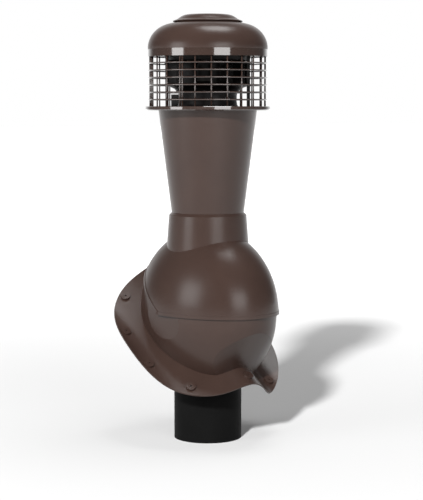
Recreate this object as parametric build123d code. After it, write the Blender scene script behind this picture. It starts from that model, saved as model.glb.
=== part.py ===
"""Roof ventilation pipe with a mesh-guarded fan head on a pitched roof flange.

Millimetres, +Z up. The origin is the centre of the lower end of the duct pipe.
The roof falls towards -Y and the slope runs level along X.
"""

from build123d import *
import math
import os

# Clearances and walls
RUN_GAP = 0.3
SLIP_GAP = 0.25
JOIN_GAP = 1.5
SHELL_WALL = 3.0

# Duct pipe
PIPE_R = 75.0
PIPE_WALL = 3.0
PIPE_TOP_Z = 600.0

# Roof slope and the wave of the flange
SLOPE_DEG = 35.0
BALL_Z = 286.0
WAVE_LENGTH = 277.0
WAVE_MEAN = -60.0
WAVE_MAIN = 30.2
WAVE_MAIN_SHIFT = -13.0
WAVE_SECOND = 5.2
WAVE_SECOND_SHIFT = 14.0
WAVE_STEP = 25.0
WAVE_REACH = 195.0
FLANGE_THICK = 3.0
FLANGE_HALF_WIDTH = 179.0
FLANGE_HALF_LENGTH = 204.5
FLANGE_SHIFT = -9.0
FLANGE_POWER = 2.34
DRUM_HALF_WIDTH = 127.0
DRUM_HALF_LENGTH = 167.0
DRUM_SHIFT = 4.5
DRUM_POWER = 2.77
OVAL_POINTS = 24
BOSS_R = 10.5
BOSS_HEIGHT = 5.0
BOSS_HOLE_R = 2.6
BOSS_PLACES = [
    (0.0, -190.0),
    (0.0, 184.0),
    (112.0, -156.0),
    (-112.0, -156.0),
    (112.0, 142.0),
    (-112.0, 142.0),
    (160.0, -60.0),
    (-160.0, -60.0),
    (160.0, 46.0),
    (-160.0, 46.0),
]

# Tilting dome and its collar
DOME_R = 183.0
DOME_HALF_WIDTH = 137.0
DOME_ROUND = 110.0
DOME_RIM_RISE = 0.65
DOME_LIP = 1.2
DOME_LIP_HEIGHT = 7.0
LAP = 22.0
SEAT_HEIGHT = 4.0
COLLAR_LOW_R = 93.0
COLLAR_TOP_R = 85.5
COLLAR_BOTTOM_Z = 400.0
COLLAR_TOP_Z = 504.0
COLLAR_CHAMFER = 6.0

# Seal in the collar
SEAL_HEIGHT = 8.0
SEAL_FOOT_WIDTH = 5.0
SEAL_BEAD_WIDTH = 6.5
SEAL_BEAD_RISE = 3.0
SEAL_TOP_WIDTH = 4.0

# Cone
CONE_LOW_R = 79.75
CONE_TOP_R = 108.0
CONE_WALL = 2.5
CONE_TOP_Z = 728.0
SOCKET_DEPTH = 70.0
SOCKET_WEB_RISE = 50.0
SOCKET_WEB_WIDTH = 3.5

# Fan head
BASE_R = 137.0
BASE_Z = CONE_TOP_Z
BASE_SHEET = 2.4
BASE_EDGE = 8.5
GUARD_R = 131.5
GUARD_WIRE = 2.6
WELD_GAP = 0.02
GUARD_TOP_Z = 848.0
GUARD_BARS = 23
GUARD_FIRST_DEG = -124.4
GUARD_SEAM_DEG = -153.0
GUARD_RING_Z = [750.6, 766.5, 782.4, 798.3, 814.2, 830.1]
BAND_R = 131.0
BAND_GAP = 0.1
BAND_LOW_Z = 844.0
BAND_TOP_Z = 860.0
HOOD_WALL = 2.5
HOOD_PROFILE = [
    (131.0, 860.0),
    (131.0, 867.0),
    (129.6, 875.0),
    (127.0, 883.0),
    (122.6, 891.0),
    (116.0, 899.5),
    (106.0, 907.5),
    (92.0, 914.5),
    (70.0, 919.5),
]
CAP_R = 76.0
CAP_LIFT = 1.0
CAP_SHEET = 2.0

# Motor and impeller
PLATE_Z = 846.0
PLATE_SHEET = 2.5
PLATE_R = 127.0
POST_R = 4.0
POST_HOLE_DEPTH = 12.0
POST_PITCH_R = 101.5
POST_DEG = [-68.0, 52.0, 172.0]
MOTOR_PITCH_R = 32.0
MOTOR_FLANGE_R = 42.0
MOTOR_FLANGE_THICK = 5.0
SHAFT_R = 4.0
BEARING_R = 11.0
BEARING_WIDTH = 7.0
TUBE_WALL = 3.0
STATOR_R = 38.0
CAN_R = 46.0
CAN_WALL = 3.5
CAN_LOW_Z = 786.0
CAN_TOP_Z = 836.0
IMPELLER_R = 95.0
IMPELLER_EYE_R = 68.0
IMPELLER_LOW_Z = 769.0
IMPELLER_PLATE_Z = 829.0
IMPELLER_WALL = 2.2
BLADES = 7
BLADE_R = 58.0
BLADE_SHEET = 2.2
BLADE_CENTRE_R = 62.0
BLADE_CENTRE_DEG = -58.0
HIGH_BEARING_DROP = 12.0
STATOR_SLOTS = 12
STATOR_SLOT_DEPTH = 9.0
STATOR_SLOT_WIDTH = 4.0

# Inlet nozzle
NOZZLE_WAIST_R = 62.0
NOZZLE_SHEET = 1.6
NOZZLE_FLANGE_WIDTH = 27.0
NOZZLE_SCREW_OUT = 20.0
NOZZLE_SCREW_DEG = 22.0
PLATE_HOLE_OUT = 12.0
CONE_MOUTH_OUT = 22.0

# Terminal box on the base plate
BOX_DEG = 82.0
BOX_R = 101.0
BOX_WIDTH = 54.0
BOX_DEPTH = 42.0
BOX_HEIGHT = 28.0
BOX_WALL = 2.2
BOX_CORNER_R = 4.0
BOX_PILLAR_R = 5.0
BOX_PILLAR_INSET = 6.0
LID_THICK = 3.0
GLAND_R = 6.0
GLAND_BORE_R = 3.4
GLAND_LENGTH = 14.0
GLAND_NUT_R = 8.5
GLAND_NUT_HEIGHT = 5.0

SCREW_R = 2.0
HEAD_R = 3.8
HEAD_HEIGHT = 2.6

slope = math.radians(SLOPE_DEG)
roof_normal = Vector(0, -math.sin(slope), math.cos(slope))
up_roof = Vector(0, math.cos(slope), math.sin(slope))
ball_centre = Vector(0, 0, BALL_Z)
cut_reach = 2 * DOME_R
roof_plane = Plane(origin=ball_centre, x_dir=(1, 0, 0), z_dir=roof_normal)
wave_plane = Plane(origin=ball_centre, x_dir=(1, 0, 0), z_dir=up_roof * -1)


def at_angle(radius, degrees, height):
    """A point at a radius and angle round the pipe axis."""
    angle = math.radians(degrees)
    return (radius * math.cos(angle), radius * math.sin(angle), height)


def turned(points):
    """A solid turned round the pipe axis from a closed outline of radius and height."""
    with BuildSketch(Plane.XZ) as outline:
        with BuildLine():
            Polyline(*points, close=True)
        make_face()
    return revolve(outline.sketch, axis=Axis.Z)


def ring(inner, outer, low, high):
    """A plain ring or disc round the pipe axis."""
    solid = Pos(0, 0, low) * extrude(Circle(outer), high - low)
    if inner > 0:
        solid -= Pos(0, 0, low - 1) * extrude(Circle(inner), high - low + 2)
    return solid


def rod(point, radius, low, high):
    """An upright rod at a point of the plan."""
    return Pos(point[0], point[1], low) * extrude(Circle(radius), high - low)


def screw(point, under_head, length, up=1):
    """A pan head screw with a cross slot; up=1 has its head on top."""
    shank_low = under_head - length if up > 0 else under_head
    head_low = under_head if up > 0 else under_head - HEAD_HEIGHT
    solid = rod(point, SCREW_R, shank_low, shank_low + length)
    solid += rod(point, HEAD_R, head_low, head_low + HEAD_HEIGHT)
    slot_z = head_low + HEAD_HEIGHT if up > 0 else head_low
    for turn in (0, 90):
        slot = Box(2 * HEAD_R - 2.4, 0.9, 2.4)
        solid -= Pos(point[0], point[1], slot_z) * Rot(0, 0, turn) * slot
    return solid


def oval(half_width, half_length, shift, power):
    """A rounded oval face in the roof plane."""
    points = []
    for step in range(OVAL_POINTS):
        angle = 2 * math.pi * step / OVAL_POINTS
        cos_part = math.cos(angle)
        sin_part = math.sin(angle)
        x = half_width * math.copysign(abs(cos_part) ** (2 / power), cos_part)
        y = half_length * math.copysign(abs(sin_part) ** (2 / power), sin_part)
        points.append((x, y + shift))
    with BuildSketch() as outline:
        with BuildLine():
            Spline(*points, periodic=True)
        make_face()
    return outline.sketch


def oval_prism(half_width, half_length, shift, power):
    """The oval carried both ways along the roof normal."""
    face = oval(half_width, half_length, shift, power)
    return roof_plane * extrude(face, cut_reach, both=True)


def ball(inset):
    """The dome's form, turned about the level axis across the slope, less an inset.

    Its outline is a round arc over the middle between two flatter arcs at the sides.
    """
    middle_height = DOME_R - DOME_ROUND
    side_gap = DOME_HALF_WIDTH - DOME_ROUND
    side_centre = (middle_height**2 - side_gap**2) / (2 * side_gap)
    reach = math.hypot(side_centre, middle_height)
    middle_r = DOME_ROUND - inset
    meet = (
        middle_r * side_centre / reach,
        middle_height + middle_r * middle_height / reach,
    )
    side_r = DOME_HALF_WIDTH + side_centre - inset
    half_turn = math.atan2(meet[1], meet[0] + side_centre) / 2
    side_point = (side_r * math.cos(half_turn) - side_centre, side_r * math.sin(half_turn))
    end = DOME_HALF_WIDTH - inset
    top = (0, DOME_R - inset)
    with BuildSketch(Plane(origin=ball_centre, x_dir=(1, 0, 0), z_dir=(0, -1, 0))) as half:
        with BuildLine():
            ThreePointArc((end, 0), side_point, meet)
            ThreePointArc(meet, top, (-meet[0], meet[1]))
            ThreePointArc((-meet[0], meet[1]), (-side_point[0], side_point[1]), (-end, 0))
            Line((-end, 0), (end, 0))
        make_face()
    return revolve(half.sketch, axis=Axis(ball_centre, (1, 0, 0)))


def wave(across):
    """Height of the wave's middle surface over the dome centre, along the roof normal."""
    rate = 2 * math.pi / WAVE_LENGTH
    main = WAVE_MAIN * math.cos(rate * (across - WAVE_MAIN_SHIFT))
    second = WAVE_SECOND * math.cos(2 * rate * (across - WAVE_SECOND_SHIFT))
    return WAVE_MEAN + main + second


def wave_lean(across):
    """Angle of the wave at a place across the roof."""
    rate = 2 * math.pi / WAVE_LENGTH
    main = WAVE_MAIN * math.sin(rate * (across - WAVE_MAIN_SHIFT))
    second = 2 * WAVE_SECOND * math.sin(2 * rate * (across - WAVE_SECOND_SHIFT))
    return math.atan(-rate * (main + second))


def pad_plane(across, along):
    """The plane square to the wave at a screw pad."""
    lean = wave_lean(across)
    foot = roof_plane.from_local_coords(Vector(across, along, wave(across)))
    direction = roof_normal * math.cos(lean) - Vector(math.sin(lean), 0, 0)
    return Plane(origin=foot, z_dir=direction)


def wave_body(low_offset, high_offset, high_level=None):
    """A body lying on the wave, flat on top when a level is given."""
    count = math.ceil(WAVE_REACH / WAVE_STEP)
    places = [WAVE_STEP * step for step in range(-count, count + 1)]
    low = [(x, wave(x) + low_offset) for x in places]
    with BuildSketch() as outline:
        with BuildLine():
            Spline(*low)
            if high_level is None:
                high = [(x, wave(x) + high_offset) for x in places]
                Spline(*high)
                Line(low[0], high[0])
                Line(low[-1], high[-1])
            else:
                Line(low[0], (low[0][0], high_level))
                Line((low[0][0], high_level), (low[-1][0], high_level))
                Line((low[-1][0], high_level), low[-1])
        make_face()
    return wave_plane * extrude(outline.sketch, cut_reach, both=True)


def below_rim(rise):
    """Everything below the dome's rim line, lifted by a rise."""
    outline = [
        (-cut_reach, rise),
        (0, rise),
        (cut_reach, rise + cut_reach * DOME_RIM_RISE),
        (cut_reach, -cut_reach),
        (-cut_reach, -cut_reach),
    ]
    side = Plane(origin=ball_centre, x_dir=(0, 1, 0), z_dir=(1, 0, 0))
    with BuildSketch(side) as area:
        with BuildLine():
            Polyline(*outline, close=True)
        make_face()
    return extrude(area.sketch, cut_reach, both=True)


# Roof flange with its drum
drum_inset = SHELL_WALL + JOIN_GAP
half_thick = FLANGE_THICK / 2
brim = wave_body(-half_thick, half_thick)
brim &= oval_prism(FLANGE_HALF_WIDTH, FLANGE_HALF_LENGTH, FLANGE_SHIFT, FLANGE_POWER)
drum_outer = oval_prism(DRUM_HALF_WIDTH, DRUM_HALF_LENGTH, DRUM_SHIFT, DRUM_POWER)
drum_outer &= ball(drum_inset)
drum_inner = oval_prism(
    DRUM_HALF_WIDTH - SHELL_WALL, DRUM_HALF_LENGTH - SHELL_WALL, DRUM_SHIFT, DRUM_POWER
)
drum_hollow = ball(drum_inset + SHELL_WALL)
drum_inner &= drum_hollow
drum = drum_outer & wave_body(0, 0, cut_reach) & below_rim(LAP)
brim_hollow = drum_inner & wave_body(-BOSS_HEIGHT - FLANGE_THICK, 2 * BOSS_HEIGHT + FLANGE_THICK)
flange = (brim - brim_hollow) + (drum - drum_inner)
for across, along in BOSS_PLACES:
    pad = pad_plane(across, along) * extrude(Circle(BOSS_R), BOSS_HEIGHT + half_thick)
    flange += pad - brim_hollow
for across, along in BOSS_PLACES:
    hole = extrude(Circle(BOSS_HOLE_R), BOSS_HEIGHT + 20, both=True)
    flange -= pad_plane(across, along) * hole
seat = ball(SHELL_WALL) & below_rim(LAP)
seat -= below_rim(LAP - SEAT_HEIGHT)
seat -= drum_hollow
flange += seat

# Dome with its collar
collar_inner_top = COLLAR_TOP_R - SHELL_WALL
collar_outer = turned(
    [
        (0, COLLAR_BOTTOM_Z),
        (COLLAR_LOW_R, COLLAR_BOTTOM_Z),
        (COLLAR_TOP_R, COLLAR_TOP_Z - COLLAR_CHAMFER),
        (COLLAR_TOP_R - COLLAR_CHAMFER, COLLAR_TOP_Z),
        (0, COLLAR_TOP_Z),
    ]
)
collar_inner = turned(
    [
        (0, COLLAR_BOTTOM_Z - 20),
        (COLLAR_LOW_R - SHELL_WALL + 1.5, COLLAR_BOTTOM_Z - 20),
        (collar_inner_top, COLLAR_TOP_Z - COLLAR_CHAMFER),
        (collar_inner_top - 3, COLLAR_TOP_Z - SHELL_WALL),
        (0, COLLAR_TOP_Z - SHELL_WALL),
    ]
)
lip = ball(-DOME_LIP) & below_rim(DOME_LIP_HEIGHT)
shell = ball(0) + collar_outer + lip
shell -= ball(SHELL_WALL)
shell -= collar_inner
shell -= rod((0, 0), PIPE_R + JOIN_GAP, COLLAR_TOP_Z - 20, COLLAR_TOP_Z + 5)
shell -= below_rim(0)

# Duct pipe and the seal in the collar
pipe = ring(PIPE_R - PIPE_WALL, PIPE_R, 0, PIPE_TOP_Z)
seal_high = COLLAR_TOP_Z - SHELL_WALL
seal_low = seal_high - SEAL_HEIGHT
seal = turned(
    [
        (PIPE_R + SLIP_GAP, seal_low),
        (PIPE_R + SEAL_FOOT_WIDTH, seal_low),
        (PIPE_R + SEAL_BEAD_WIDTH, seal_low + SEAL_BEAD_RISE),
        (PIPE_R + SEAL_TOP_WIDTH, seal_high),
        (PIPE_R + SLIP_GAP, seal_high),
    ]
)

# Cone with its socket over the pipe
socket_r = PIPE_R + SLIP_GAP
cone_low_z = COLLAR_TOP_Z
cone = turned(
    [
        (socket_r, cone_low_z),
        (CONE_LOW_R, cone_low_z),
        (CONE_TOP_R, CONE_TOP_Z),
        (NOZZLE_WAIST_R + CONE_MOUTH_OUT, CONE_TOP_Z),
        (NOZZLE_WAIST_R + CONE_MOUTH_OUT, CONE_TOP_Z - CONE_WALL),
        (CONE_TOP_R - CONE_WALL, CONE_TOP_Z - CONE_WALL),
        (CONE_LOW_R + SOCKET_WEB_WIDTH, cone_low_z + SOCKET_WEB_RISE),
        (socket_r + CONE_WALL, cone_low_z + SOCKET_WEB_RISE),
        (socket_r + CONE_WALL, cone_low_z + SOCKET_DEPTH),
        (socket_r, cone_low_z + SOCKET_DEPTH),
    ]
)

# Base plate and inlet nozzle
nozzle_seat_r = NOZZLE_WAIST_R + PLATE_HOLE_OUT
base_plate = turned(
    [
        (nozzle_seat_r, BASE_Z),
        (BASE_R - 2, BASE_Z),
        (BASE_R, BASE_Z + 2),
        (BASE_R, BASE_Z + BASE_EDGE - 1),
        (BASE_R - 1, BASE_Z + BASE_EDGE),
        (BASE_R - BASE_SHEET, BASE_Z + BASE_EDGE),
        (BASE_R - BASE_SHEET, BASE_Z + BASE_SHEET),
        (nozzle_seat_r, BASE_Z + BASE_SHEET),
    ]
)
nozzle_low = BASE_Z + BASE_SHEET
nozzle = turned(
    [
        (NOZZLE_WAIST_R + 8.5, nozzle_low),
        (NOZZLE_WAIST_R + NOZZLE_FLANGE_WIDTH, nozzle_low),
        (NOZZLE_WAIST_R + NOZZLE_FLANGE_WIDTH, nozzle_low + NOZZLE_SHEET),
        (NOZZLE_WAIST_R + 10.5, nozzle_low + NOZZLE_SHEET),
        (NOZZLE_WAIST_R + 5.6, nozzle_low + 5),
        (NOZZLE_WAIST_R + 2.6, nozzle_low + 10),
        (NOZZLE_WAIST_R + 1.6, nozzle_low + 17),
        (NOZZLE_WAIST_R + 1.9, nozzle_low + 28),
        (NOZZLE_WAIST_R + 3.2, nozzle_low + 42),
        (NOZZLE_WAIST_R + 1.6, nozzle_low + 42),
        (NOZZLE_WAIST_R + 0.3, nozzle_low + 28),
        (NOZZLE_WAIST_R, nozzle_low + 17),
        (NOZZLE_WAIST_R + 1, nozzle_low + 10),
        (NOZZLE_WAIST_R + 4, nozzle_low + 5),
    ]
)
nozzle_screw_r = NOZZLE_WAIST_R + NOZZLE_SCREW_OUT
nozzle_screw_places = [
    at_angle(nozzle_screw_r, NOZZLE_SCREW_DEG + 90 * step, 0) for step in range(4)
]
hole_r = SCREW_R + SLIP_GAP
nozzle_screws = None
for place in nozzle_screw_places:
    base_plate -= rod(place, hole_r, BASE_Z - 1, BASE_Z + 10)
    nozzle -= rod(place, hole_r, BASE_Z - 1, BASE_Z + 10)
    one = screw(place, nozzle_low + NOZZLE_SHEET, 8)
    nozzle_screws = one if nozzle_screws is None else nozzle_screws + one
    cone -= rod(place, hole_r, CONE_TOP_Z - 6, CONE_TOP_Z + 1)

# Wire guard: rings outside upright bars, with one more bar where the strip's ends lap
ring_inner_r = GUARD_R - GUARD_WIRE
bar_mid_r = ring_inner_r - GUARD_WIRE / 2 - WELD_GAP
guard_low_z = BASE_Z + BASE_SHEET
guard_rings = None
for height in GUARD_RING_Z:
    hoop = ring(ring_inner_r, GUARD_R, height - GUARD_WIRE / 2, height + GUARD_WIRE / 2)
    guard_rings = hoop if guard_rings is None else guard_rings + hoop
bar_angles = [GUARD_FIRST_DEG + 360 * step / GUARD_BARS for step in range(GUARD_BARS)]
bar_angles.append(GUARD_SEAM_DEG)
bar_length = GUARD_TOP_Z - guard_low_z
bars = []
for degrees in bar_angles:
    x, y, z = at_angle(bar_mid_r, degrees, guard_low_z + bar_length / 2)
    bars.append(Pos(x, y, z) * Rot(0, 0, degrees) * Box(GUARD_WIRE, GUARD_WIRE, bar_length))
guard_bars = Part(children=bars)

# Band and hood
band_inner_r = ring_inner_r + BAND_GAP
band = ring(band_inner_r, BAND_R, BAND_LOW_Z, BAND_TOP_Z)
hood_top_z = HOOD_PROFILE[-1][1]
hood_points = [(HOOD_PROFILE[0][0] - HOOD_WALL, HOOD_PROFILE[0][1])]
hood_points += HOOD_PROFILE
hood_points += [(0, hood_top_z), (0, hood_top_z - HOOD_WALL)]
hood_points += [(HOOD_PROFILE[-1][0] - 1, hood_top_z - HOOD_WALL)]
hood_points += [(r - 0.8, z - 1.9) for r, z in reversed(HOOD_PROFILE[5:-1])]
hood_points += [(r - HOOD_WALL, z - 0.8) for r, z in reversed(HOOD_PROFILE[2:5])]
hood = turned(hood_points)
cap_low_z = hood_top_z + CAP_LIFT
cap = turned(
    [
        (CAP_R - 12, cap_low_z - 1),
        (CAP_R, cap_low_z - 0.5),
        (CAP_R + 0.3, cap_low_z + 0.8),
        (CAP_R - 1, cap_low_z + 2.2),
        (CAP_R - 9, cap_low_z + 5.2),
        (CAP_R - 15, cap_low_z + 9.6),
        (CAP_R - 22, cap_low_z + 13.4),
        (CAP_R - 30, cap_low_z + 15.2),
        (0, cap_low_z + 16),
        (0, cap_low_z + 16 - CAP_SHEET),
        (CAP_R - 31, cap_low_z + 15.2 - CAP_SHEET),
        (CAP_R - 23.5, cap_low_z + 13.4 - CAP_SHEET),
        (CAP_R - 16.5, cap_low_z + 9.6 - CAP_SHEET),
        (CAP_R - 12, cap_low_z + 5.2 - CAP_SHEET),
    ]
)

# Motor plate, posts and their screws
plate = turned(
    [
        (8, PLATE_Z),
        (94.8, PLATE_Z),
        (88.6, PLATE_Z - 10),
        (90.1, PLATE_Z - 10.6),
        (96.8, PLATE_Z),
        (PLATE_R - 2.4, PLATE_Z),
        (PLATE_R - 2.4, PLATE_Z + PLATE_SHEET + 9),
        (PLATE_R - 4.4, PLATE_Z + PLATE_SHEET + 9),
        (PLATE_R - 4.4, PLATE_Z + PLATE_SHEET),
        (8, PLATE_Z + PLATE_SHEET),
    ]
)
posts = None
post_screws = None
post_low_z = BASE_Z + BASE_SHEET
for degrees in POST_DEG:
    place = at_angle(POST_PITCH_R, degrees, 0)
    post = Pos(place[0], place[1], post_low_z) * extrude(
        RegularPolygon(POST_R, 6), PLATE_Z - post_low_z
    )
    post -= rod(place, hole_r, post_low_z - 1, post_low_z + POST_HOLE_DEPTH)
    post -= rod(place, hole_r, PLATE_Z - POST_HOLE_DEPTH, PLATE_Z + 1)
    posts = post if posts is None else posts + post
    base_plate -= rod(place, hole_r, BASE_Z - 1, BASE_Z + 10)
    plate -= rod(place, hole_r, PLATE_Z - 1, PLATE_Z + PLATE_SHEET + 1)
    cone -= rod(place, HEAD_R + 1, CONE_TOP_Z - 8, CONE_TOP_Z + 1)
    low_screw = screw(place, BASE_Z, 10, up=-1)
    high_screw = screw(place, PLATE_Z + PLATE_SHEET, 10)
    pair = low_screw + high_screw
    post_screws = pair if post_screws is None else post_screws + pair

# Motor: flange with bearing tube, stator, bearings, shaft and rotor can
flange_low = PLATE_Z - MOTOR_FLANGE_THICK
tube_low = CAN_LOW_Z + CAN_WALL + 2
tube_r = BEARING_R + TUBE_WALL
high_bearing_z = PLATE_Z - HIGH_BEARING_DROP
motor_flange = ring(0, MOTOR_FLANGE_R, flange_low, PLATE_Z)
motor_flange += ring(0, tube_r, tube_low, flange_low)
motor_flange -= ring(0, SHAFT_R + 3, tube_low - 1, PLATE_Z + 1)
motor_flange -= rod((0, 0), BEARING_R, tube_low - 1, tube_low + BEARING_WIDTH)
motor_flange -= rod((0, 0), BEARING_R, high_bearing_z, PLATE_Z + 1)
bearing_low = ring(SHAFT_R + RUN_GAP, BEARING_R, tube_low, tube_low + BEARING_WIDTH)
bearing_high = ring(
    SHAFT_R + RUN_GAP, BEARING_R, high_bearing_z, high_bearing_z + BEARING_WIDTH
)
bearings = bearing_low + bearing_high
stator = ring(tube_r, STATOR_R, tube_low + 4, flange_low - 6)
for step in range(STATOR_SLOTS):
    slot = Box(STATOR_SLOT_DEPTH, STATOR_SLOT_WIDTH, 2 * (flange_low - tube_low))
    turn = 360 * step / STATOR_SLOTS
    middle = at_angle(STATOR_R - 5, turn, (tube_low + flange_low) / 2)
    stator -= Pos(*middle) * Rot(0, 0, turn) * slot
motor_screws = None
for step in range(4):
    place = at_angle(MOTOR_PITCH_R, 45 + 90 * step, 0)
    motor_flange -= rod(place, hole_r, flange_low - 1, PLATE_Z + 1)
    plate -= rod(place, hole_r, PLATE_Z - 1, PLATE_Z + PLATE_SHEET + 1)
    one = screw(place, PLATE_Z + PLATE_SHEET, 7)
    motor_screws = one if motor_screws is None else motor_screws + one
shaft = rod((0, 0), SHAFT_R, CAN_LOW_Z - 4, PLATE_Z - 1)
can_turned = turned(
    [
        (SHAFT_R, CAN_LOW_Z),
        (CAN_R - 5, CAN_LOW_Z),
        (CAN_R, CAN_LOW_Z + 5),
        (CAN_R, IMPELLER_PLATE_Z - 3),
        (CAN_R + 9, IMPELLER_PLATE_Z - 3),
        (CAN_R + 9, IMPELLER_PLATE_Z),
        (CAN_R, IMPELLER_PLATE_Z),
        (CAN_R, CAN_TOP_Z),
        (CAN_R - CAN_WALL, CAN_TOP_Z),
        (CAN_R - CAN_WALL, CAN_LOW_Z + 6),
        (CAN_R - CAN_WALL - 2.5, CAN_LOW_Z + CAN_WALL),
        (8, CAN_LOW_Z + CAN_WALL),
        (SHAFT_R, CAN_LOW_Z + CAN_WALL),
    ]
)

# Impeller
shroud_line = [
    (IMPELLER_EYE_R, IMPELLER_LOW_Z),
    (IMPELLER_EYE_R + 0.6, IMPELLER_LOW_Z + 3.5),
    (IMPELLER_EYE_R + 4, IMPELLER_LOW_Z + 7.5),
    (IMPELLER_EYE_R + 10, IMPELLER_LOW_Z + 10.5),
    (IMPELLER_R, IMPELLER_LOW_Z + 16),
]
shroud = turned(
    shroud_line + [(r + 0.9, z - IMPELLER_WALL) for r, z in reversed(shroud_line[1:])]
    + [(IMPELLER_EYE_R + 2.2, IMPELLER_LOW_Z)]
)
back_high = IMPELLER_PLATE_Z + IMPELLER_WALL
impeller_back = ring(CAN_R + SLIP_GAP, IMPELLER_R, IMPELLER_PLATE_Z, back_high)
blade_space = turned(
    [
        (CAN_R + 11, IMPELLER_LOW_Z + 20),
        (IMPELLER_EYE_R - 2, IMPELLER_LOW_Z + 2),
        (IMPELLER_EYE_R + 0.3, IMPELLER_LOW_Z + 2),
        (IMPELLER_EYE_R + 1.5, IMPELLER_LOW_Z + 3.2),
        (IMPELLER_EYE_R + 4.6, IMPELLER_LOW_Z + 6.6),
        (IMPELLER_EYE_R + 10.4, IMPELLER_LOW_Z + 9.6),
        (IMPELLER_R - 0.6, IMPELLER_LOW_Z + 15),
        (IMPELLER_R - 0.6, IMPELLER_PLATE_Z + 1),
        (CAN_R + 11, IMPELLER_PLATE_Z + 1),
    ]
)
blade_centre = at_angle(BLADE_CENTRE_R, BLADE_CENTRE_DEG, 0)
blade_arc = ring(BLADE_R, BLADE_R + BLADE_SHEET, IMPELLER_LOW_Z, IMPELLER_PLATE_Z + 1)
blade_one = Pos(*blade_centre) * blade_arc
wedge_points = [(0, 0), at_angle(140, -20, 0)[:2], at_angle(140, 70, 0)[:2]]
with BuildSketch() as wedge_face:
    with BuildLine():
        Polyline(*wedge_points, close=True)
    make_face()
wedge = Pos(0, 0, IMPELLER_LOW_Z - 5) * extrude(wedge_face.sketch, 90)
blade_one = (blade_one & wedge) & blade_space
impeller = shroud + impeller_back
for step in range(BLADES):
    impeller += Rot(0, 0, 360 * step / BLADES) * blade_one
impeller_screws = None
for step in range(4):
    place = at_angle(CAN_R + 5, 45 + 90 * step, 0)
    impeller -= rod(place, hole_r, IMPELLER_PLATE_Z - 1, back_high + 1)
    can_turned -= rod(place, hole_r, IMPELLER_PLATE_Z - 4, IMPELLER_PLATE_Z + 1)
    one = screw(place, back_high, 4.5)
    impeller_screws = one if impeller_screws is None else impeller_screws + one

# Terminal box, lid, gland and lid screws
box_low = nozzle_low + NOZZLE_SHEET
box_place = Pos(*at_angle(BOX_R, BOX_DEG, box_low)) * Rot(0, 0, BOX_DEG - 90)
outer_box = Pos(0, 0, BOX_HEIGHT / 2) * Box(BOX_WIDTH, BOX_DEPTH, BOX_HEIGHT)
outer_box = fillet(outer_box.edges().filter_by(Axis.Z), BOX_CORNER_R)
inner_box = Pos(0, 0, BOX_HEIGHT / 2 + BOX_WALL) * Box(
    BOX_WIDTH - 2 * BOX_WALL, BOX_DEPTH - 2 * BOX_WALL, BOX_HEIGHT
)
box_body = outer_box - inner_box
lid = Pos(0, 0, BOX_HEIGHT + LID_THICK / 2) * Box(BOX_WIDTH, BOX_DEPTH, LID_THICK)
lid = fillet(lid.edges().filter_by(Axis.Z), BOX_CORNER_R)
lid_screws = None
for side in (-1, 1):
    corner = (
        side * (BOX_WIDTH / 2 - BOX_PILLAR_INSET),
        side * (BOX_DEPTH / 2 - BOX_PILLAR_INSET),
    )
    pillar = rod(corner, BOX_PILLAR_R, BOX_WALL - 0.5, BOX_HEIGHT)
    box_body += pillar
    box_body -= rod(corner, hole_r, BOX_WALL + 4, BOX_HEIGHT + 1)
    lid -= rod(corner, hole_r, BOX_HEIGHT - 1, BOX_HEIGHT + LID_THICK + 1)
    one = screw(corner, BOX_HEIGHT + LID_THICK, 12)
    lid_screws = one if lid_screws is None else lid_screws + one
gland_z = BOX_HEIGHT / 2
gland = Rot(0, 90, 0) * extrude(Circle(GLAND_R), GLAND_LENGTH)
gland += Pos(3, 0, 0) * Rot(0, 90, 0) * extrude(RegularPolygon(GLAND_NUT_R, 6), GLAND_NUT_HEIGHT)
gland -= Pos(-2, 0, 0) * Rot(0, 90, 0) * extrude(Circle(GLAND_BORE_R), GLAND_LENGTH + 6)
gland = Pos(BOX_WIDTH / 2 - BOX_WALL, 0, gland_z) * gland
box_body -= Pos(BOX_WIDTH / 2 - 5, 0, gland_z) * Rot(0, 90, 0) * extrude(Circle(GLAND_R + SLIP_GAP), 8)
box_body = box_place * box_body
lid = box_place * lid
lid_screws = box_place * lid_screws
gland = box_place * gland

nodes = {
    "base_flange": flange,
    "upper_shell": shell,
    "collar_seal": seal,
    "duct_pipe": pipe,
    "outer_cone": cone,
    "base_plate": base_plate,
    "inlet_nozzle": nozzle,
    "nozzle_screws": nozzle_screws,
    "guard_rings": guard_rings,
    "guard_bars": guard_bars,
    "top_band": band,
    "hood": hood,
    "top_cap": cap,
    "motor_plate": plate,
    "posts": posts,
    "post_screws": post_screws,
    "motor_flange": motor_flange,
    "bearings": bearings,
    "stator": stator,
    "motor_screws": motor_screws,
    "shaft": shaft,
    "rotor_can": can_turned,
    "impeller": impeller,
    "impeller_screws": impeller_screws,
    "terminal_box": box_body,
    "terminal_lid": lid,
    "lid_screws": lid_screws,
    "cable_gland": gland,
}

os.makedirs("parts", exist_ok=True)
for node, shape in nodes.items():
    export_step(shape, f"parts/{node}.step")
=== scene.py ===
"""Looks of the roof ventilation pipe: finishes, smooth hood and cap, round guard wires, light and camera."""

import math

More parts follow.
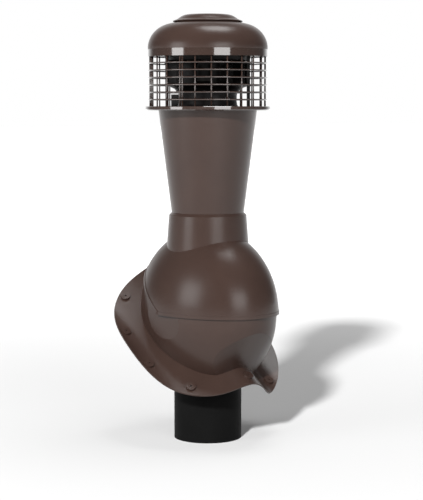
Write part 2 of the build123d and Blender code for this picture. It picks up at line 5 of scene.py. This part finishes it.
import bmesh
import bpy
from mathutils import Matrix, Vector


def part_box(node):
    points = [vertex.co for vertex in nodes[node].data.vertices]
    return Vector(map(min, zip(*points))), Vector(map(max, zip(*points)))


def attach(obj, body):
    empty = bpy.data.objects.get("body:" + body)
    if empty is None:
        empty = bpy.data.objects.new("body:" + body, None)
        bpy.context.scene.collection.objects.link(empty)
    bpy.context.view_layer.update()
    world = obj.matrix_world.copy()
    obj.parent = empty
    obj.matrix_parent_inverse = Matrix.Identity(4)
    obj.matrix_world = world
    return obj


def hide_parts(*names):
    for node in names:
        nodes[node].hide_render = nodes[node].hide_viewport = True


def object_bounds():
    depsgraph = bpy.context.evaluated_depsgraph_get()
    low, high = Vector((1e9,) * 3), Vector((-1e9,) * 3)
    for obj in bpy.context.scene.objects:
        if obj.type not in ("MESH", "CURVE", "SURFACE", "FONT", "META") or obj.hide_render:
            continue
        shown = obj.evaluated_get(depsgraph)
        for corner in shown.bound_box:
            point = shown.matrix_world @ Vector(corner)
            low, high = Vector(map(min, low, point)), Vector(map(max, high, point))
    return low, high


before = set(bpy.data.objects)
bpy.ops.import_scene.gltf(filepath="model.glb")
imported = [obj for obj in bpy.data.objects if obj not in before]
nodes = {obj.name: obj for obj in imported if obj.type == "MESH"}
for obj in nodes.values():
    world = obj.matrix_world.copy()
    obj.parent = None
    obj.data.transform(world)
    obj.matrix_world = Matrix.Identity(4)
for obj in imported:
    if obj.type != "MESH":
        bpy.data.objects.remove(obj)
cad_low, cad_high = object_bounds()

# Photograph's frame and camera
IMAGE_WIDTH = 423
IMAGE_HEIGHT = 500
SENSOR = 36.0
FOCAL_PIXELS = 1504.0
CAMERA_AZIMUTH = math.radians(-38.0)
CAMERA_TILT = math.radians(5.5)
CAMERA_DISTANCE = 3.319
CAMERA_HEIGHT = 0.7389
CAMERA_SIDE = 0.0082

# Mottling of plastic, and the grain under its gloss
CLOUD_SCALE = 14.0
CLOUD_DETAIL = 4.0
CLOUD_EDGES = (0.3, 0.7)
GLOSS_SPREAD = 0.03
GRAIN_DETAIL = 3.0
GRAIN_DEPTH = 0.0004
COAT_ROUGHNESS = 0.04

# Grain of metal
METAL_DETAIL = 5.0
METAL_SPREAD = 0.06
METAL_DARK_PART = 0.8

# Guard wires
WIRE_R = 0.0016
RING_SEGMENTS = 144
WIRE_SIDES = 10
BAR_COUNT = 23
BAR_FIRST = math.radians(-124.4)
SEAM_AT = math.radians(-153.0)
RING_COUNT = 6
UPRIGHT_LIMIT = 0.1

# Hood and cap outlines: radius, and height over the piece's lower edge
LATHE_STEPS = 160
LINE_CUTS = 5
ON_AXIS = 1e-6
SHARP_ANGLE = math.radians(40)
SHEET = 0.0022
HOOD_LINE = [
    (0.131, 0.0),
    (0.131, 0.007),
    (0.1297, 0.015),
    (0.1269, 0.023),
    (0.1226, 0.031),
    (0.116, 0.0392),
    (0.106, 0.0472),
    (0.092, 0.0539),
    (0.07, 0.0592),
]
HOOD_TOP = 0.0595
CAP_UNDER = [(0.0, 0.0135), (0.05, 0.0125), (0.058, 0.007), (0.064, 0.0), (0.0755, 0.0004)]
CAP_LINE = [
    (0.0763, 0.0014),
    (0.0752, 0.0029),
    (0.0672, 0.006),
    (0.0612, 0.0101),
    (0.0545, 0.0139),
    (0.046, 0.0161),
    (0.03, 0.0168),
    (0.0, 0.017),
]

# Floor: its colour as seen, its colour for the light that it throws back, and its glow near and far
FLOOR_SIZE = 40.0
FLOOR_ROUGHNESS = 0.9
FLOOR_SEEN = 0.6
FLOOR_BOUNCE = 0.1
GLOW_NEAR = 0.08
GLOW_FAR = 0.72
GLOW_REACH = 4.2

# World: faint as a light; in reflections white behind the object and a darker room in front of it
AMBIENT = 0.05
ROOM = 0.1
BACKDROP_EDGE = -0.98
ROOM_EDGE = -0.6

# Lamps, with their places in degrees from the camera's side and in metres from the middle
MIDDLE = Vector((0, 0, 0.5))
LEFT_BOX = {"side": -58, "up": 13, "distance": 2.6, "width": 1.1, "height": 1.1, "power": 18}
RIGHT_BOX = {"side": 27, "up": 13, "distance": 3.0, "width": 1.6, "height": 1.1, "power": 25}
TOP_BOX = {"side": 100, "up": 82, "distance": 2.1, "width": 0.9, "height": 0.9, "power": 18}
SUN_SIDE = -15.7
SUN_UP = 27
SUN_SOFTNESS = math.radians(4.5)
KEY_POWER = 3.0
FLOOR_SUN_POWER = 3.6


def photo_direction(side_degrees, up_degrees):
    """A direction given from the camera's side: 0 is towards the camera, + to its right."""
    turn = CAMERA_AZIMUTH - math.pi / 2 + math.radians(side_degrees)
    rise = math.radians(up_degrees)
    return Vector((math.cos(turn) * math.cos(rise), math.sin(turn) * math.cos(rise), math.sin(rise)))


def scene_object(name, data):
    """A new object in the scene."""
    thing = bpy.data.objects.new(name, data)
    bpy.context.scene.collection.objects.link(thing)
    return thing


def new_material(name):
    """A node material, its tree and its shader."""
    material = bpy.data.materials.new(name)
    material.use_nodes = True
    tree = material.node_tree
    return material, tree, tree.nodes["Principled BSDF"]


def noise(tree, place, scale, detail):
    """Noise over a place."""
    node = tree.nodes.new("ShaderNodeTexNoise")
    node.inputs["Scale"].default_value = scale
    node.inputs["Detail"].default_value = detail
    tree.links.new(place, node.inputs["Vector"])
    return node.outputs["Fac"]


def remap(tree, value, low, high, start=0.0, end=1.0, smooth=False):
    """A value brought from start..end to low..high, each a number or another node's output."""
    node = tree.nodes.new("ShaderNodeMapRange")
    if smooth:
        node.interpolation_type = "SMOOTHSTEP"
    tree.links.new(value, node.inputs["Value"])
    node.inputs["From Min"].default_value = start
    node.inputs["From Max"].default_value = end
    for socket, level in (("To Min", low), ("To Max", high)):
        if isinstance(level, float):
            node.inputs[socket].default_value = level
        else:
            tree.links.new(level, node.inputs[socket])
    return node.outputs["Result"]


def two_colours(tree, value, dark, light, edges=(0.0, 1.0)):
    """A colour from dark at the first edge to light at the second."""
    node = tree.nodes.new("ShaderNodeValToRGB")
    for element, edge, colour in zip(node.color_ramp.elements, edges, (dark, light)):
        element.position = edge
        element.color = (*colour, 1)
    tree.links.new(value, node.inputs["Fac"])
    return node.outputs["Color"]


def any_ray(tree, *kinds):
    """1 for the named kinds of ray, 0 for all others."""
    rays = tree.nodes.new("ShaderNodeLightPath")
    found = rays.outputs[kinds[0]]
    for kind in kinds[1:]:
        either = tree.nodes.new("ShaderNodeMath")
        either.operation = "MAXIMUM"
        tree.links.new(found, either.inputs[0])
        tree.links.new(rays.outputs[kind], either.inputs[1])
        found = either.outputs[0]
    return found


def plastic(name, dark, light, roughness, grain, grain_scale, specular):
    """Moulded plastic: faint mottling, fine grain and slightly uneven gloss."""
    material, tree, shader = new_material(name)
    place = tree.nodes.new("ShaderNodeTexCoord").outputs["Object"]
    cloud = noise(tree, place, CLOUD_SCALE, CLOUD_DETAIL)
    tree.links.new(two_colours(tree, cloud, dark, light, CLOUD_EDGES), shader.inputs["Base Color"])
    gloss = remap(tree, cloud, roughness - GLOSS_SPREAD, roughness + GLOSS_SPREAD)
    tree.links.new(gloss, shader.inputs["Roughness"])
    bump = tree.nodes.new("ShaderNodeBump")
    bump.inputs["Strength"].default_value = grain
    bump.inputs["Distance"].default_value = GRAIN_DEPTH
    tree.links.new(noise(tree, place, grain_scale, GRAIN_DETAIL), bump.inputs["Height"])
    tree.links.new(bump.outputs["Normal"], shader.inputs["Normal"])
    shader.inputs["Specular IOR Level"].default_value = specular
    return material


def metal(name, colour, roughness, grain_scale, stretch=(1, 1, 1)):
    """Metal with a fine grain, which stretch can draw out along one direction."""
    material, tree, shader = new_material(name)
    place = tree.nodes.new("ShaderNodeTexCoord")
    mapping = tree.nodes.new("ShaderNodeMapping")
    mapping.inputs["Scale"].default_value = stretch
    tree.links.new(place.outputs["Object"], mapping.inputs["Vector"])
    grain = noise(tree, mapping.outputs["Vector"], grain_scale, METAL_DETAIL)
    rough = remap(tree, grain, roughness - METAL_SPREAD, roughness + METAL_SPREAD)
    tree.links.new(rough, shader.inputs["Roughness"])
    dark = [part * METAL_DARK_PART for part in colour]
    tree.links.new(two_colours(tree, grain, dark, colour), shader.inputs["Base Color"])
    shader.inputs["Metallic"].default_value = 1.0
    return material


brown = plastic(
    "brown_plastic", (0.052, 0.031, 0.025), (0.06, 0.036, 0.029),
    roughness=0.3, grain=0.1, grain_scale=900, specular=0.4,
)
enamel = plastic(
    "brown_enamel", (0.05, 0.029, 0.022), (0.056, 0.033, 0.026),
    roughness=0.1, grain=0.01, grain_scale=60, specular=0.8,
)
enamel_shader = enamel.node_tree.nodes["Principled BSDF"]
enamel_shader.inputs["Coat Weight"].default_value = 1.0
enamel_shader.inputs["Coat Roughness"].default_value = COAT_ROUGHNESS
black_pipe = plastic(
    "black_pipe", (0.007, 0.007, 0.007), (0.009, 0.009, 0.009),
    roughness=0.6, grain=0.15, grain_scale=700, specular=0.05,
)
black_plastic = plastic(
    "black_plastic", (0.006, 0.0055, 0.0055), (0.009, 0.008, 0.008),
    roughness=0.4, grain=0.1, grain_scale=800, specular=0.12,
)
rubber = plastic(
    "black_rubber", (0.008, 0.008, 0.008), (0.012, 0.012, 0.012),
    roughness=0.7, grain=0.2, grain_scale=500, specular=0.2,
)
dark_steel = plastic(
    "dark_steel", (0.008, 0.0075, 0.007), (0.012, 0.011, 0.0105),
    roughness=0.35, grain=0.05, grain_scale=300, specular=0.15,
)
plated = metal("plated_steel", (0.35, 0.34, 0.33), roughness=0.35, grain_scale=400, stretch=(1, 1, 0.1))
alloy = metal("grey_alloy", (0.4, 0.4, 0.41), roughness=0.45, grain_scale=250)

FINISH = {
    "base_flange": brown,
    "upper_shell": brown,
    "collar_seal": rubber,
    "duct_pipe": black_pipe,
    "outer_cone": brown,
    "base_plate": enamel,
    "inlet_nozzle": black_plastic,
    "nozzle_screws": plated,
    "guard_rings": enamel,
    "guard_bars": enamel,
    "top_band": enamel,
    "hood": brown,
    "top_cap": brown,
    "motor_plate": dark_steel,
    "posts": dark_steel,
    "post_screws": plated,
    "motor_flange": alloy,
    "bearings": plated,
    "stator": dark_steel,
    "motor_screws": plated,
    "shaft": plated,
    "rotor_can": dark_steel,
    "impeller": black_plastic,
    "impeller_screws": plated,
    "terminal_box": black_plastic,
    "terminal_lid": black_plastic,
    "lid_screws": plated,
    "cable_gland": black_plastic,
}


def smooth_faces(data):
    """Shades all faces of a mesh smooth."""
    for face in data.polygons:
        face.use_smooth = True


for name, node in nodes.items():
    node.data.materials.clear()
    node.data.materials.append(FINISH[name])
    smooth_faces(node.data)


def mesh_piece(name, build, material, body, *replaced):
    """A new mesh piece riding on a body, in place of CAD nodes."""
    data = bpy.data.meshes.new(name)
    shape = bmesh.new()
    build(shape)
    bmesh.ops.recalc_face_normals(shape, faces=shape.faces)
    shape.to_mesh(data)
    shape.free()
    piece = scene_object(name, data)
    data.materials.append(material)
    smooth_faces(data)
    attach(piece, body)
    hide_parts(*replaced)
    return piece


def circle(radius, height, steps):
    """Points on a level circle round the pipe axis."""
    turns = [2 * math.pi * step / steps for step in range(steps)]
    return [Vector((radius * math.cos(turn), radius * math.sin(turn), height)) for turn in turns]


def sweep(shape, centres, closed):
    """A round wire along a list of points."""
    loops = []
    count = len(centres)
    for index, centre in enumerate(centres):
        before = centres[index - 1] if index or closed else centre
        after = centres[(index + 1) % count] if index < count - 1 or closed else centre
        along = (after - before).normalized()
        side = along.cross(Vector((0, 0, 1)))
        side = side.normalized() if side.length > UPRIGHT_LIMIT else Vector((1, 0, 0))
        up = side.cross(along).normalized()
        loop = []
        for step in range(WIRE_SIDES):
            turn = 2 * math.pi * step / WIRE_SIDES
            offset = side * math.cos(turn) + up * math.sin(turn)
            loop.append(shape.verts.new(centre + offset * WIRE_R))
        loops.append(loop)
    pairs = list(zip(loops, loops[1:]))
    if closed:
        pairs.append((loops[-1], loops[0]))
    for first, second in pairs:
        for step in range(WIRE_SIDES):
            after = (step + 1) % WIRE_SIDES
            shape.faces.new((first[step], first[after], second[after], second[step]))
    if not closed:
        shape.faces.new(loops[0])
        shape.faces.new(loops[-1])


def between(before, start, end, after, part):
    """One coordinate of a smooth line, a part of the way from start to end."""
    bend = 2 * before - 5 * start + 4 * end - after
    swing = 3 * start - before - 3 * end + after
    return 0.5 * (2 * start + (end - before) * part + bend * part**2 + swing * part**3)


def smooth_line(points):
    """A smooth line through points of radius and height."""
    padded = [points[0]] + points + [points[-1]]
    line = []
    for four in zip(padded, padded[1:], padded[2:], padded[3:]):
        for cut in range(LINE_CUTS):
            line.append(tuple(between(*values, cut / LINE_CUTS) for values in zip(*four)))
    line.append(points[-1])
    return line


def lathe(shape, outline, base_height):
    """A closed body turned round the pipe axis; its outline starts and ends on the axis."""
    loops = []
    for radius, height in outline:
        if radius < ON_AXIS:
            points = [Vector((0, 0, base_height + height))]
        else:
            points = circle(radius, base_height + height, LATHE_STEPS)
        loops.append([shape.verts.new(point) for point in points])
    for first, second in zip(loops, loops[1:]):
        for step in range(LATHE_STEPS):
            after = (step + 1) % LATHE_STEPS
            corners = [
                first[step % len(first)],
                first[after % len(first)],
                second[after % len(second)],
                second[step % len(second)],
            ]
            shape.faces.new(list(dict.fromkeys(corners)))


def level_part(radius):
    """How far the hood's sheet has turned level at a radius: 0 at the wall, 1 at the top."""
    wall_radius = HOOD_LINE[0][0]
    top_radius = HOOD_LINE[-1][0]
    return min(1.0, (wall_radius - radius) / (wall_radius - top_radius))


def build_hood(shape):
    """The hood's smooth form in even sheet."""
    outer = smooth_line(HOOD_LINE)
    inner = [(radius - SHEET, height - SHEET * level_part(radius)) for radius, height in outer]
    inner[0] = (inner[0][0], outer[0][1])
    outline = [(0.0, HOOD_TOP - SHEET)] + inner[::-1] + outer + [(0.0, HOOD_TOP)]
    lathe(shape, outline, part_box("hood")[0].z)


def build_cap(shape):
    """The cap's smooth form over its hollow underside."""
    outline = smooth_line(CAP_UNDER) + smooth_line(CAP_LINE)
    lathe(shape, outline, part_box("top_cap")[0].z)


for smooth_piece in (
    mesh_piece("smooth_hood", build_hood, brown, "housing", "hood"),
    mesh_piece("smooth_cap", build_cap, brown, "housing", "top_cap"),
):
    smooth_piece.data.set_sharp_from_angle(angle=SHARP_ANGLE)

ring_box_low, ring_box_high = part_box("guard_rings")
bar_box_low, bar_box_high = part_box("guard_bars")
ring_radius = ring_box_high.x - WIRE_R
bar_radius = ring_radius - 2 * WIRE_R
ring_low = ring_box_low.z + WIRE_R
ring_gap = (ring_box_high.z - ring_box_low.z - 2 * WIRE_R) / (RING_COUNT - 1)


def build_rings(shape):
    """Rings of round wire outside the upright bars."""
    for ring in range(RING_COUNT):
        sweep(shape, circle(ring_radius, ring_low + ring * ring_gap, RING_SEGMENTS), True)


def build_bars(shape):
    """Upright bars of round wire, with one more where the strip's ends lap."""
    turns = [BAR_FIRST + 2 * math.pi * step / BAR_COUNT for step in range(BAR_COUNT)]
    turns.append(SEAM_AT)
    for turn in turns:
        x = bar_radius * math.cos(turn)
        y = bar_radius * math.sin(turn)
        sweep(shape, [Vector((x, y, bar_box_low.z)), Vector((x, y, bar_box_high.z))], False)


mesh_piece("guard_ring_wires", build_rings, enamel, "housing", "guard_rings")
mesh_piece("guard_bar_wires", build_bars, enamel, "housing", "guard_bars")

# Floor, which is brighter as seen than as a light on the object
floor_data = bpy.data.meshes.new("floor")
corners = [(-1, -1), (1, -1), (1, 1), (-1, 1)]
floor_data.from_pydata([(x * FLOOR_SIZE, y * FLOOR_SIZE, cad_low.z) for x, y in corners], [], [(0, 1, 2, 3)])
floor = scene_object("floor", floor_data)
floor_material, floor_tree, floor_shader = new_material("floor")
floor_shader.inputs["Roughness"].default_value = FLOOR_ROUGHNESS
floor_shader.inputs["Specular IOR Level"].default_value = 0.0
floor_shader.inputs["Emission Color"].default_value = (1, 1, 1, 1)
floor_seen = any_ray(floor_tree, "Is Camera Ray", "Is Glossy Ray", "Is Transmission Ray")
floor_colour = remap(floor_tree, floor_seen, FLOOR_BOUNCE, FLOOR_SEEN)
floor_tree.links.new(floor_colour, floor_shader.inputs["Base Color"])
floor_place = floor_tree.nodes.new("ShaderNodeTexCoord")
from_part = floor_tree.nodes.new("ShaderNodeVectorMath")
from_part.operation = "LENGTH"
floor_tree.links.new(floor_place.outputs["Object"], from_part.inputs[0])
glow = remap(floor_tree, from_part.outputs["Value"], GLOW_NEAR, GLOW_FAR, end=GLOW_REACH, smooth=True)
glow_seen = floor_tree.nodes.new("ShaderNodeMath")
glow_seen.operation = "MULTIPLY"
floor_tree.links.new(glow, glow_seen.inputs[0])
floor_tree.links.new(floor_seen, glow_seen.inputs[1])
floor_tree.links.new(glow_seen.outputs[0], floor_shader.inputs["Emission Strength"])
floor_data.materials.append(floor_material)

# World: white for the camera, the room for reflections, faint as a light
world = bpy.data.worlds.new("world")
bpy.context.scene.world = world
world.use_nodes = True
world_tree = world.node_tree
background = world_tree.nodes["Background"]
background.inputs["Color"].default_value = (1, 1, 1, 1)
world_place = world_tree.nodes.new("ShaderNodeTexCoord")
front = world_tree.nodes.new("ShaderNodeVectorMath")
front.operation = "DOT_PRODUCT"
front.inputs[1].default_value = photo_direction(0, 0)
world_tree.links.new(world_place.outputs["Generated"], front.inputs[0])
room = remap(world_tree, front.outputs["Value"], 1.0, ROOM, BACKDROP_EDGE, ROOM_EDGE, smooth=True)
mirrored = any_ray(world_tree, "Is Glossy Ray", "Is Transmission Ray")
unseen = remap(world_tree, mirrored, AMBIENT, room)
strength = remap(world_tree, any_ray(world_tree, "Is Camera Ray"), unseen, 1.0)
world_tree.links.new(strength, background.inputs["Strength"])


def soft_box(name, side, up, distance, width, height, power):
    """A rectangular lamp looking at the middle of the object."""
    data = bpy.data.lights.new(name, "AREA")
    data.shape = "RECTANGLE"
    data.size = width
    data.size_y = height
    data.energy = power
    lamp = scene_object(name, data)
    lamp.location = MIDDLE + photo_direction(side, up) * distance
    lamp.rotation_euler = (MIDDLE - lamp.location).to_track_quat("-Z", "Y").to_euler()


def sun(name, power):
    """A soft sun that isn't mirrored, as the photograph's gloss shows the soft boxes alone."""
    data = bpy.data.lights.new(name, "SUN")
    data.energy = power
    data.angle = SUN_SOFTNESS
    lamp = scene_object(name, data)
    lamp.rotation_euler = (-photo_direction(SUN_SIDE, SUN_UP)).to_track_quat("-Z", "Y").to_euler()
    lamp.visible_glossy = False
    return lamp


soft_box("left_box", **LEFT_BOX)
soft_box("right_box", **RIGHT_BOX)
soft_box("top_box", **TOP_BOX)
sun("key", KEY_POWER)

# The second sun reaches the floor alone: it deepens the shadow and leaves the object's light as it is
floor_only = bpy.data.collections.new("floor_only")
floor_only.objects.link(floor)
sun("floor_sun", FLOOR_SUN_POWER).light_linking.receiver_collection = floor_only

# Camera
camera_data = bpy.data.cameras.new("camera")
camera_data.sensor_width = SENSOR
camera_data.lens = FOCAL_PIXELS * SENSOR / max(IMAGE_WIDTH, IMAGE_HEIGHT)
camera = scene_object("camera", camera_data)
camera.location = photo_direction(0, 0) * CAMERA_DISTANCE + photo_direction(90, 0) * CAMERA_SIDE
camera.location.z = CAMERA_HEIGHT
camera.rotation_euler = (math.pi / 2 - CAMERA_TILT, 0, CAMERA_AZIMUTH)
bpy.context.scene.camera = camera
bpy.context.scene.view_settings.view_transform = "Standard"
